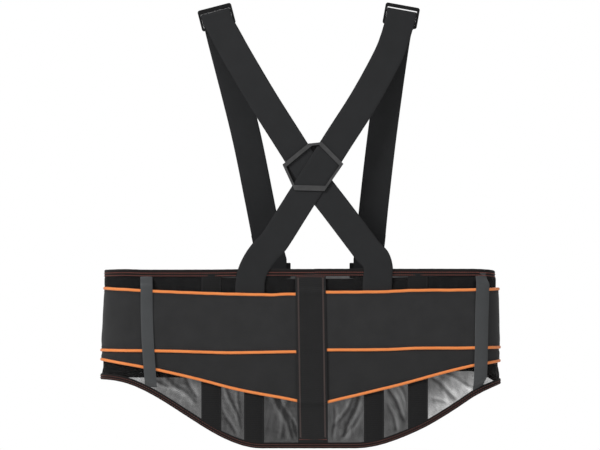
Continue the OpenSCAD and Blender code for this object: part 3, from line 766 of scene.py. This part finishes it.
def channel(word, u):
    """The sleeve of a stay; u is its place to the left or right of the centre strip."""
    side = -1 if u < 0 else 1
    mid_s = abs(u)
    a = edged(13, 0.04)
    across = (a - 0.5) * CHANNEL_W
    v = edged(70, 0.008)
    S, V = np.meshgrid(mid_s + across, v, indexing="ij")
    Z = (hem_low(side, S) + 5.5) * (1 - V) + (TOP - 5) * V
    round_it = 0.55 + 0.45 * np.cos(np.clip(np.abs(across) / 9.5, 0, 1) * PI / 2) ** 0.7
    fat = (CHANNEL_T * round_it)[:, None] * rim(len(a), len(v), 0.3, 0.8)
    fat = fat * (0.97 + 0.03 * waves(Z, 2.4))
    inner = CHANNEL_R + 0.05
    ob = shell("sleeve_" + word, loop(side, S, inner + fat, Z), loop(side, S, inner, Z), spread(S, Z))
    dress(ob, "webbing")
    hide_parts("channel_" + word)
    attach(ob, "belt")
    for k, off in enumerate((-10.9, 10.9)):
        at = np.arange(hem_low(side, np.array(mid_s + off)) + 9, TOP - 9, 3.0)
        ob = loop_threads(f"sleeve_stitch_{word}_{k}", side, mid_s + off + 0 * at, CHANNEL_R + 1.15, at, 2.1,
                          "thread_dark")
        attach(ob, "belt")


def strip_x(z):
    """The middle of the strip, which leans a little."""
    return CENTRE_X - 1.6 - 0.0152 * (z - 30)


def strip_surface(z):
    """How far out the centre strip lies: over the bands in the middle, tucked in at both ends."""
    over = ease((z - 50) / 7) * ease((203 - z) / 8)
    r = TUCKED_R + (STRIP_R - TUCKED_R) * over
    for level in (58.9, 122.8, 194.2):
        r = r + 0.55 * np.exp(-((z - level) / 3.2) ** 2)
    return r - 2.2 * ease((13 - z) / 7) - 2.6 * ease((z - 211) / 6)


def centre_strip():
    a = edged(15, 0.03)
    x = (a - 0.5) * STRIP_W
    z = np.arange(6.5, 218.6, 0.5)
    X, Z = np.meshgrid(x, z, indexing="ij")
    wide = 1.02 - 0.03 * ease((60 - Z) / 50) + 0.008 * np.sin(Z / 17)
    inner = ease((STRIP_W / 2 - 4.2 - np.abs(X)) / 1.5)
    ribs = 0.17 * waves(Z + 0.5 * np.sin(X / 5), 2.5) * (0.35 + 0.65 * inner)
    pull = -0.28 * np.exp(-((np.abs(X) - (STRIP_W / 2 - 3.2)) / 1.1) ** 2)
    body = 0.3 * np.cos(X / STRIP_W * PI) + ribs + pull + 0.15 * ripple(X, Z, 9, 30)
    half = STRIP_T / 2 * rim(len(x), len(z), 0.3, 0.75)
    r = strip_surface(Z) + STRIP_T / 2
    place = lambda d: spread(strip_x(Z) + X * wide, -(r + d), Z)
    ob = shell("centre_tape", place(half + body), place(-half + body * 0.3), spread(X, Z))
    dress(ob, "strip")
    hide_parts("centre_strip")
    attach(ob, "belt")
    for name, side in SIDES.items():
        for k, tilt in enumerate((0.95, -0.95)):
            at = np.arange(14 + 1.5 * k, 213, 3.0)
            p = spread(strip_x(at) + side * (STRIP_W / 2 - 3.3), -(strip_surface(at) + STRIP_T + 0.12), at)
            st = threads(f"strip_zigzag_{name}_{k}", p, np.gradient(p, axis=0), OUT_BACK, 3.3, 0.75, "thread_dull",
                         tilt)
            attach(st, "belt")
    for k, z in enumerate((10.5, 214.0)):
        x = np.arange(strip_x(z) - 16.5, strip_x(z) + 16.6, 3.0)
        p = spread(x, -(strip_surface(z) + STRIP_T + 0.15), z)
        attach(threads(f"strip_end_stitch_{k}", p, (1.0, 0, 0), OUT_BACK, 2.2), "belt")


def centre_sleeve():
    """The sleeve round the middle stay, under the strip."""
    a, v = edged(9, 0.05), edged(40, 0.01)
    X, V = np.meshgrid((a - 0.5) * CENTRE_SLEEVE_W, v, indexing="ij")
    Z = 12 + 198 * V
    fat = 2.4 * (0.4 + 0.6 * np.cos(X / CENTRE_SLEEVE_W * PI) ** 0.6) * rim(len(a), len(v), 0.3, 0.8)
    place = lambda d: spread(CENTRE_X + X, -(CHANNEL_R - 0.3 + d), Z)
    ob = shell("centre_sleeve", place(fat), place(0), spread(X, Z))
    dress(ob, "webbing")
    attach(ob, "belt")


# ---- Elastic bands and piping ----

def band_s(side, step=3.5):
    end, turned = front_s(side, CENTRE_X + side * TAB_START), run(side) + PI * ARC_R
    return np.concatenate([
        np.arange(STRIP_W / 2 - 15, run(side), step), np.linspace(run(side), turned, 36),
        np.linspace(turned + 1, end, max(2, int((end - turned) / step)))])


def bands(name):
    side = SIDES[name]
    s = band_s(side)
    v = edged(36, 0.015)
    S, V = np.meshgrid(s, v, indexing="ij")
    x, X = flat_x(side, s), flat_x(side, S)
    half = BAND_T / 2 * rim(len(s), len(v))
    at = np.arange(STRIP_W / 2 + 2, s[-1] - 2, 3.2)
    # the cloth dips beside the piping, where the seam pulls it in
    dip = lambda share: 0.35 * np.exp(-(share * BAND_W / 4.5 - 1.0) ** 2)
    for word, mat, r, low, high, seed in (
            ("lower", "band_low", LOWER_R, low_line, lambda q: low_line(q) + BAND_W, 21),
            ("upper", "band", UPPER_R, mid_line, high_line, 33)):
        lower = word == "lower"
        Z = low(X) * (1 - V) + high(X) * V
        seam = dip(V) if lower else dip(V) + dip(1 - V)
        mid = r + BAND_T / 2 + 0.22 * ripple(S, Z * 2.2, seed, 90) * ease((S - 26) / 40) - seam
        out = LOWER_OUT * ease((mid_line(X) - 2 - Z) / 6) if lower else 0.0
        ob = shell(f"{word}_elastic_{name}", loop(side, S, mid + half, Z, out), loop(side, S, mid - half, Z, out),
                   spread(S, Z))
        dress(ob, mat)
        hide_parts(f"{word}_band_{name}", f"{word}_wrap_{name}")
        fold_blend(ob)
        for k, (line, off) in enumerate([(low, 4.2)] if lower else [(low, 4.2), (high, -4.2)]):
            st = loop_threads(f"{word}_elastic_stitch_{name}_{k}", side, at, r + BAND_T - 0.12,
                              line(flat_x(side, at)) + off, 2.2, "thread_dark", 0.5, LOWER_OUT if lower else 0.0)
            fold_blend(st)
    k = np.arange(12) * PI / 6
    cord = spread(1.4 * np.cos(k), 1.85 * np.sin(k))
    s, x = s[s > STRIP_W / 2 - 8], x[s > STRIP_W / 2 - 8]
    for word, line, r in (("low", low_line, LOWER_R), ("mid", mid_line, UPPER_R), ("high", high_line, UPPER_R)):
        z = line(x) + 0.12 * ripple(s, 0 * s, 11 + len(word), 40)
        ob = loop_tube(f"piping_{word}_{name}", side, s, r + PIPING_OUT, z, cord, LOWER_OUT if word == "low" else 0.0)
        dress(ob, "piping")
        if word == "low":
            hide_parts("piping_" + name, "piping_wrap_" + name)
        fold_blend(ob)


def keeper(name):
    side = SIDES[name]
    a, v = edged(7, 0.08), edged(60, 0.01)
    A, V = np.meshgrid((a - 0.5) * 2, v, indexing="ij")
    low_end = 76.0 if side < 0 else 71.5
    Z = low_end + (220 - low_end) * V
    share = np.clip((Z - 76) / 136, 0, 1)
    half_w = (14.8 + 1.4 * share) / 2
    mid_s = 204.5 + 6.5 * share + 0.8 * np.sin(V * 5 + side)
    S = mid_s + A * half_w
    hem = hem_low(side, S) + BINDING_W * hem_steep(side, S)
    tuck = 6.9 * ease((Z - 203) / 12) + 6.9 * ease((hem + 9 - Z) / 9)
    r = KEEPER_R + KEEPER_T / 2 - tuck + 0.35 * np.sin(V * 9 + side) * ease((Z - 85) / 20) * ease((200 - Z) / 20)
    r = r - 0.25 * A ** 2
    half = 0.45 * rim(len(a), len(v), 0.3, 0.8)
    ob = shell("keeper_ribbon_" + name, loop(side, S, r + half, Z), loop(side, S, r - half, Z),
               spread(S - mid_s, Z))
    dress(ob, "ribbon")
    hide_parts("keeper_" + name)
    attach(ob, "belt")


# ---- Straps: each point is x, y, z, the turn of the width in degrees, and its lean ----

LEAN, STRAP_SPLIT = 0.086, 450
CROSSING, CROSS_GAP = (17, -24.2, 336), 1.6
BAR_V, LEG_Y, BAR_TURN = 17.6, 2.9, 19
BARS = {"left": ((-105.6, 0, 543.3), 14.5), "right": ((127.6, 0, 545.1), -10.3)}
RING_X = {"left": -35.0, "right": 85.5}
RING_Y, RING_HIGH, RING_ROD = 35.8, 223.2, 1.2


def slider_point(name, v, y):
    """A place in the slider, v along it and y from its bar."""
    bar, tilt = BARS[name]
    a = math.radians(tilt)
    return [bar[0] - math.sin(a) * (v - BAR_V), bar[1] + y, bar[2] + math.cos(a) * (v - BAR_V), tilt, 0]


def lean_point(x, z, gap, turn):
    """A place on the back where the straps lie close to their crossing."""
    return [x, CROSSING[1] + gap + LEAN * (z - CROSSING[2]), z, turn, LEAN]


def smooth_path(knots, n=9):
    """A smooth curve through the knots, with n points to each step."""
    k = np.asarray(knots, float)
    k = np.concatenate([k[:1], k, k[-1:]])
    t = (np.arange(n) / n)[:, None]
    out = []
    for a, b, c, d in zip(k[:-3], k[1:-2], k[2:-1], k[3:]):
        out.append(0.5 * (2 * b + (c - a) * t + (2 * a - 5 * b + 4 * c - d) * t ** 2
                          + (3 * b - a - 3 * c + d) * t ** 3))
    return np.concatenate(out + [k[-1:]])


def back_path(name):
    if name == "left":
        knots = [
            [-62.5, -ANCHOR_R, 186, 0, 0], [-62.5, -ANCHOR_R, 205, 0, 0], [-59.5, -ANCHOR_R, 220, -17, 0],
            [-52, -32.6, 235, -32, 0], [-42.5, -31.8, 247.5, -38, LEAN / 2], lean_point(-31, 260, 0, -34),
            lean_point(-7, 298, 0, -32.3), lean_point(17, 336, 0, -32.3), lean_point(48, 385, 0, -32.5),
            [80, -14.6, 435, -30.8, LEAN], [107.5, -9, 485, -26.9, LEAN / 2], [118, -5.8, 510, -20, 0],
            slider_point("right", 10, -LEG_Y)]
    else:
        knots = [
            [96, -ANCHOR_R, 186, 0, 0], [97, -ANCHOR_R, 212, -1, 0], [98, -ANCHOR_R, 224, 8, 0],
            [94.5, -32.4, 236, 30, 0], [85, -31.3, 246, 39, LEAN / 2], lean_point(74.4, 260, 1, 37),
            lean_point(45.7, 298, CROSS_GAP, 36), lean_point(17, 336, CROSS_GAP, 34.5),
            lean_point(-14.4, 385, CROSS_GAP, 32.3), [-46, -14, 435, 31.5, LEAN],
            [-75.6, -9, 485, 29.5, LEAN / 2], [-88.5, -5.8, 508, 28, 0],
            slider_point("left", 10, -LEG_Y)]
    over = [slider_point(OTHER[name], BAR_V + LEG_Y * math.sin(a), -LEG_Y * math.cos(a))
            for a in np.linspace(0, PI, BAR_TURN)]
    return np.concatenate([smooth_path(knots), over])


FRONT_KNOTS = {
    "left": ([-97.5, 13.6], [-69, 14], [-51, 12]),
    "right": ([119.5, -10], [103.8, -8.5], [93.6, -7]),
}


def front_path(name):
    high, mid, low = FRONT_KNOTS[name]
    x = RING_X[name]
    hang = [
        slider_point(name, BAR_V - 0.3, LEG_Y), slider_point(name, 9, LEG_Y), slider_point(name, 1, LEG_Y),
        [high[0], 6.2, 510, high[1], 0], [mid[0], 17.4, 397.5, mid[1], 0], [low[0], 26.4, 310, low[1], 0],
        [low[0] + (x - low[0]) * 0.66, 31.6, 256, low[1] * 0.5, 0], [x, 33.5, 236, 0, 0]]
    r = RING_ROD + 0.2 + STRAP_T / 2
    round_bar = [[x, RING_Y - r * math.cos(a), RING_HIGH - r * math.sin(a), 0, 0] for a in np.linspace(0, PI, 15)]
    end = [[x, 37.9, 231.6, 0, 0], [x + (low[0] - x) * 0.06, 37.2, 239, 0, 0],
           [x + (low[0] - x) * 0.3, 34.9, 252, low[1] * 0.4, 0],
           [x + (low[0] - x) * 0.52, 33, 268, low[1] * 0.7, 0]]
    return smooth_path(hang), np.concatenate([round_bar, smooth_path(end, 8)])


def strap_frame(path):
    """The width and the outward direction of a strap at each point of its path."""
    turn = np.radians(path[:, 3])
    wide = unit(spread(np.cos(turn), path[:, 4] * np.sin(turn), np.sin(turn)))
    return wide, unit(np.cross(unit(np.gradient(path[:, :3], axis=0)), wide))


def strap(name, path, first, last):
    """One length of strap webbing, from one place on its path to another."""
    wide, out = strap_frame(path)
    sl = slice(first, last + 1)
    a = (edged(11, 0.035) - 0.5) * 2
    fat = np.ones(len(a))
    fat[[0, -1]], fat[[1, -2]] = 0.3, 0.75
    c, w, n, v = path[sl, None, :3], wide[sl, None], out[sl, None], distance(path[:, :3])[sl]
    half = STRAP_T / 2 * fat * (1 + 0.16 * np.exp(-((np.abs(a) - 0.86) / 0.06) ** 2))
    snug = 1 + 0.02 * ease((c[..., 2:] - 528) / 6)
    across = a * STRAP_W / 2
    base = c + w * across[:, None] * snug
    ob = shell(name, base + n * half[:, None], base - n * half[:, None], spread(across, v[:, None]))
    return dress(ob, "strap")


def at_height(path, z):
    """The place on a path nearest to a height."""
    return int(np.argmin(np.abs(path[:, 2] - z)))


def strap_stitches(name, path, heights, body):
    """Rows of stitches across a strap, on both of its faces."""
    wide, out = strap_frame(path)
    x = np.arange(-STRAP_W / 2 + 3, STRAP_W / 2 - 2.9, 2.9)
    for k, z in enumerate(heights):
        i = at_height(path, z)
        for word, face in (("a", out[i]), ("b", -out[i])):
            p = path[i, :3] + x[:, None] * wide[i] + face * (STRAP_T / 2 + 0.08)
            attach(threads(f"{name}_{k}_{word}", p, wide[i], face, 2.1), body)


def back_strap(name):
    path = back_path(name)
    i, j = at_height(path, CROSSING[2]), at_height(path[:-BAR_TURN], STRAP_SPLIT)
    low = strap(f"back_webbing_low_{name}", path, 0, i)
    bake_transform(low)
    mid = strap(f"back_webbing_mid_{name}", path, i, j)
    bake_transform(mid)
    high = strap(f"back_webbing_high_{name}", path, j, len(path) - 1)
    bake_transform(high)
    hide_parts("back_strap_" + name)


def front_strap(name):
    hang, turned = front_path(name)
    whole = np.concatenate([hang, turned])
    i, j = at_height(hang, STRAP_SPLIT), at_height(hang, 270)
    high = strap(f"front_webbing_high_{name}", whole, 0, i)
    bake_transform(high)
    mid = strap(f"front_webbing_mid_{name}", whole, i, j)
    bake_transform(mid)
    low = strap(f"front_webbing_low_{name}", whole, j, len(whole) - 1)
    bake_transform(low)
    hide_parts("front_strap_" + name)
    strap_stitches("front_strap_stitch_" + name, turned, (259, 264), name + "_panel")


# ---- Front panels ----

def front_pad(name):
    side = SIDES[name]
    end = front_s(side, CENTRE_X + side * (FRONT_GAP / 2 + 1))
    start = run(side) + PI * ARC_R / 2
    s = np.concatenate([[start, start + 0.6], np.arange(start + 2.5, end - 2, 3.0), [end - 0.6, end]])
    v = edged(72, 0.012)
    S, V = np.meshgrid(s, v, indexing="ij")
    height = lambda q, share: ((hem_low(side, q) + BINDING_W / 2) * (1 - share)
                               + (top_high(side, q) - BINDING_W / 2) * share)
    Z = height(S, V)
    rise = 0.22 + 0.78 * ease((S - start) / 16) * (0.55 + 0.45 * ease((end - S) / 9))
    crown = 0.35 + 0.65 * ease(V / 0.1) * ease((1 - V) / 0.1)
    fat = PAD_T * np.minimum(rise, crown)
    for row in QUILT_ROWS:
        off = (V - row) * 116
        fat = fat - QUILT_DEEP * np.exp(-(off / 2.4) ** 2) * ease((S - start) / 14)
        fat = fat + 0.18 * np.exp(-(off / 7) ** 2) * waves(S, 11, row * 9)
    for k in range(1, 5):
        fat = fat - 0.3 * np.exp(-((S - start - (end - start) * k / 5 * 1.02) / 5.5) ** 2)
    out = reach(side, Z)
    room = 3.9 - out * np.sin(turn_at(side, S)) + 4 * (1 - ease((Z - 96) / 6) * ease((203 - Z) / 6))
    fat = np.clip(np.minimum(fat + 0.12 * ripple(S, Z, 77 + side, 30), room), 0.5, PAD_T + 0.1)
    inner = LOOP_R + 0.1 + (PAD_T - fat) * 0.35 * ease((S - start) / 40)
    ob = shell("padded_front_" + name, loop(side, S, inner + fat, Z, out), loop(side, S, inner, Z, out),
               spread(S, Z), sharp=70)
    dress(ob, "pad")
    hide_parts("front_panel_" + name)
    fold_blend(ob)
    at = np.arange(start + 10, end - 3, 3.2)
    seam_r = LOOP_R + PAD_T + 0.15 - 0.65 * QUILT_DEEP
    for k, row in enumerate(QUILT_ROWS):
        st = loop_threads(f"pad_stitch_{name}_{k}", side, at, seam_r, height(at, row), 2.3, "thread_dark")
        fold_blend(st)


# ---- Front closure ----

FLAP_LOW, FLAP_HIGH, FLAP_T = 102, 202, 1.2


def rounded_box(x0, z0, x1, z1, r, n):
    out = []
    for cx, cz, a0 in ((x1 - r, z1 - r, 0), (x0 + r, z1 - r, 90), (x0 + r, z0 + r, 180), (x1 - r, z0 + r, 270)):
        for a in np.radians(np.linspace(a0, a0 + 90, n)):
            out.append([cx + r * math.cos(a), cz + r * math.sin(a)])
    return out


def seam_round(name, outline, inset, y, body, pitch=3.0):
    """Stitches that follow an outline on the front, a little inside it."""
    o = np.asarray(outline, float)
    mid = (o.min(0) + o.max(0)) / 2
    size = (o.max(0) - o.min(0)) / 2
    o = mid + (o - mid) * (size - inset) / size
    o = np.concatenate([o, o[:1]])
    d = distance(o)
    at = np.arange(0, d[-1] - pitch / 2, pitch)
    p = spread(np.interp(at, d, o[:, 0]), y, np.interp(at, d, o[:, 1]))
    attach(threads(name, p, np.roll(p, -1, 0) - np.roll(p, 1, 0), OUT_FRONT, pitch * 0.72), body)


def closure():
    pad_r = LOOP_R + PAD_T
    y0 = pad_r + 0.85
    y1 = y0 + FLAP_T
    x0, x1 = CENTRE_X - 29.5, CENTRE_X + 42.5
    outline = rounded_box(x0, FLAP_LOW, x1, FLAP_HIGH, 13, 8)
    base = rounded_box(x0, FLAP_LOW, x0 + 20, FLAP_HIGH, 1.2, 3)
    flap = plate("closure_tab", outline, y0, y1, 0.45)
    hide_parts("closure_flap")
    for ob in (flap, plate("closure_base", base, pad_r - 0.6, y0 + 0.1, 0.2)):
        dress(ob, "tab")
        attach(ob, "left_panel")
    seam_round("closure_seam", outline, 3.0, y1 + 0.05, "left_panel")
    for k, x in enumerate((x0 + 14, x0 + 17)):
        p = spread(x, y1 + 0.05, np.arange(FLAP_LOW + 4, FLAP_HIGH - 3, 3.0))
        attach(threads(f"closure_row_{k}", p, (0, 0, 1.0), OUT_FRONT, 2.2), "left_panel")


def tab_half(d):
    """Half the height of a pull tab, at the distance d from its root."""
    nose_d = (d - TAB_BODY) / TAB_NOSE
    return np.where(d > TAB_BODY, 28 * np.sqrt(np.clip(1 - nose_d ** 2, 0, 1)), 42 - 14 * ease(d / TAB_BODY))


def tab_x(side, d):
    return CENTRE_X + side * (TAB_START - 0.05 - d)


def pull_tab(name):
    side = SIDES[name]
    nose = lambda first, last, n: TAB_BODY + TAB_NOSE * np.sin(np.linspace(first, last, n) * PI / 2)
    d = np.concatenate([[0, 0.4], np.arange(2.5, TAB_LEN - 8, 2.5), nose(0.75, 0.9985, 12)])
    d = np.unique(np.round(d, 3))
    v = edged(30, 0.02)
    D, V = np.meshgrid(d, v, indexing="ij")
    Z = TAB_MID + tab_half(D) * (2 * V - 1)
    fat = TAB_T * rim(len(d), len(v), 0.3, 0.75)
    edge = np.abs(2 * V - 1) * tab_half(D)
    dip = 0.45 * np.exp(-((tab_half(D) - edge - 3.5) / 1.2) ** 2) * (D < TAB_LEN - 6)
    puff = 0.25 * np.cos((2 * V - 1) * PI / 2) * ease(D / 12) + 0.12 * ripple(D, Z, 51 + side, 26)
    mid = TAB_Y + TAB_T / 2
    place = lambda off: spread(tab_x(side, D), mid + off, Z)
    ob = shell("pull_tab_cloth_" + name, place(fat / 2 - dip + puff * 0.5), place(-fat / 2), spread(D, Z))
    dress(ob, "tab")
    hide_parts("pull_tab_" + name)
    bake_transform(ob)
    # the piping round the tab, its middle 1 mm outside the cloth
    d = np.concatenate([d[d < TAB_BODY], nose(0, 0.97, 22)])
    up = spread(tab_x(side, d), mid, TAB_MID + tab_half(d) + 1)
    down = up[::-1] * (1, 1, -1) + (0, 0, 2 * TAB_MID)
    path = np.concatenate([up, [[tab_x(side, TAB_LEN + 1), mid, TAB_MID]], down])
    out = unit(np.cross(unit(np.gradient(path, axis=0)), OUT_FRONT))[:, None]
    k = np.arange(10) * PI / 5
    rings = path[:, None] + TAB_CORD_R * (np.cos(k)[:, None] * out + np.sin(k)[:, None] * np.array(OUT_FRONT))
    pip = tube("tab_cord_" + name, rings, spread(distance(path)[:, None], k * TAB_CORD_R))
    dress(pip, "piping")
    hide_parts("tab_piping_" + name)
    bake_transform(pip)
    at = np.arange(4, TAB_LEN - 16, 3.0)
    for k, sign in enumerate((1, -1)):
        p = spread(tab_x(side, at), TAB_Y + TAB_T - 0.3, TAB_MID + sign * (tab_half(at) - 3.5))
        st = threads(f"tab_stitch_{name}_{k}", p, np.gradient(p, axis=0), OUT_FRONT, 2.2)
        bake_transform(st)


def ring_loop(name):
    """The webbing loop that holds a ring, sewn to the top of its panel."""
    x, low, ring_z = RING_X[name], 199.5, 212.8
    body = name + "_panel"
    r = RING_ROD + 0.725
    path = [[RING_Y - r, low], [RING_Y - r, 203], [RING_Y - r, 208]]
    path += [[RING_Y + r * math.cos(t), ring_z + r * math.sin(t)] for t in np.linspace(PI, 0, 13)]
    path += [[RING_Y + r, ring_z - 2], [RING_Y + r * 0.35, ring_z - 7], [RING_Y - r + 1.1, ring_z - 11.5],
             [RING_Y - r + 1.0, 203], [RING_Y - r + 1.0, low]]
    path = np.array(path)
    out = unit(np.gradient(path, axis=0))[:, ::-1] * (1, -1)
    w = edged(13, 0.03)
    half = 0.46 * rim(len(path), len(w), 0.5, 0.85)
    across = (w - 0.5) * (STRAP_W + 0.4)
    place = lambda k: spread(x + across, path[:, :1] + k * half * out[:, :1], path[:, 1:] + k * half * out[:, 1:])
    ob = shell("ring_webbing_" + name, place(1), place(-1), spread(across, distance(path)[:, None]))
    dress(ob, "strap")
    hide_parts("ring_tab_" + name)
    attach(ob, body)
    box = [[x - 16.5, low + 1], [x + 16.5, low + 1], [x + 16.5, 202.4], [x - 16.5, 202.4]]
    seam_round("ring_stitch_" + name, box, 0.0, RING_Y - r + 1.5, body, 2.6)


# ---- Kept CAD pieces: their rims are softened and they get their own materials ----

def kept_nodes():
    kept = [("cross_slide", "grey_plastic", 0.4), ("cross_patch", "patch", 0), ("closure_hooks", "hooks", 0),
            ("closure_loop_pad", "loops", 0), ("centre_stay", "steel", 0.15)]
    for name in SIDES:
        kept += [("slider_" + name, "black_plastic", 0.5), ("ring_" + name, "black_plastic", 0.3),
                 ("tab_hooks_" + name, "hooks", 0), ("tab_grip_" + name, "rubber", 0.25),
                 ("stay_far_" + name, "steel", 0.15), ("stay_near_" + name, "steel", 0.15)]
    for node, mat, soften in kept:
        ob = NODES[node]
        ob.data.materials.clear()
        ob.data.materials.append(MAT[mat])
        if soften:
            bev = ob.modifiers.new("soft_rims", "BEVEL")
            bev.width = soften * MM
            bev.segments = 2
            bev.limit_method = "ANGLE"
            bev.angle_limit = math.radians(35)


# ---- Everything together ----

camera()
studio()
for side_name in SIDES:
    net_panel(side_name)
    binding(side_name)
    bands(side_name)
    keeper(side_name)
    back_strap(side_name)
    front_strap(side_name)
    front_pad(side_name)
    pull_tab(side_name)
    ring_loop(side_name)
for word, u in (("far_left", -128.4), ("near_left", -75), ("near_right", 75), ("far_right", 130)):
    channel(word, u)
centre_strip()
centre_sleeve()
closure()
kept_nodes()

bpy.context.view_layer.update()
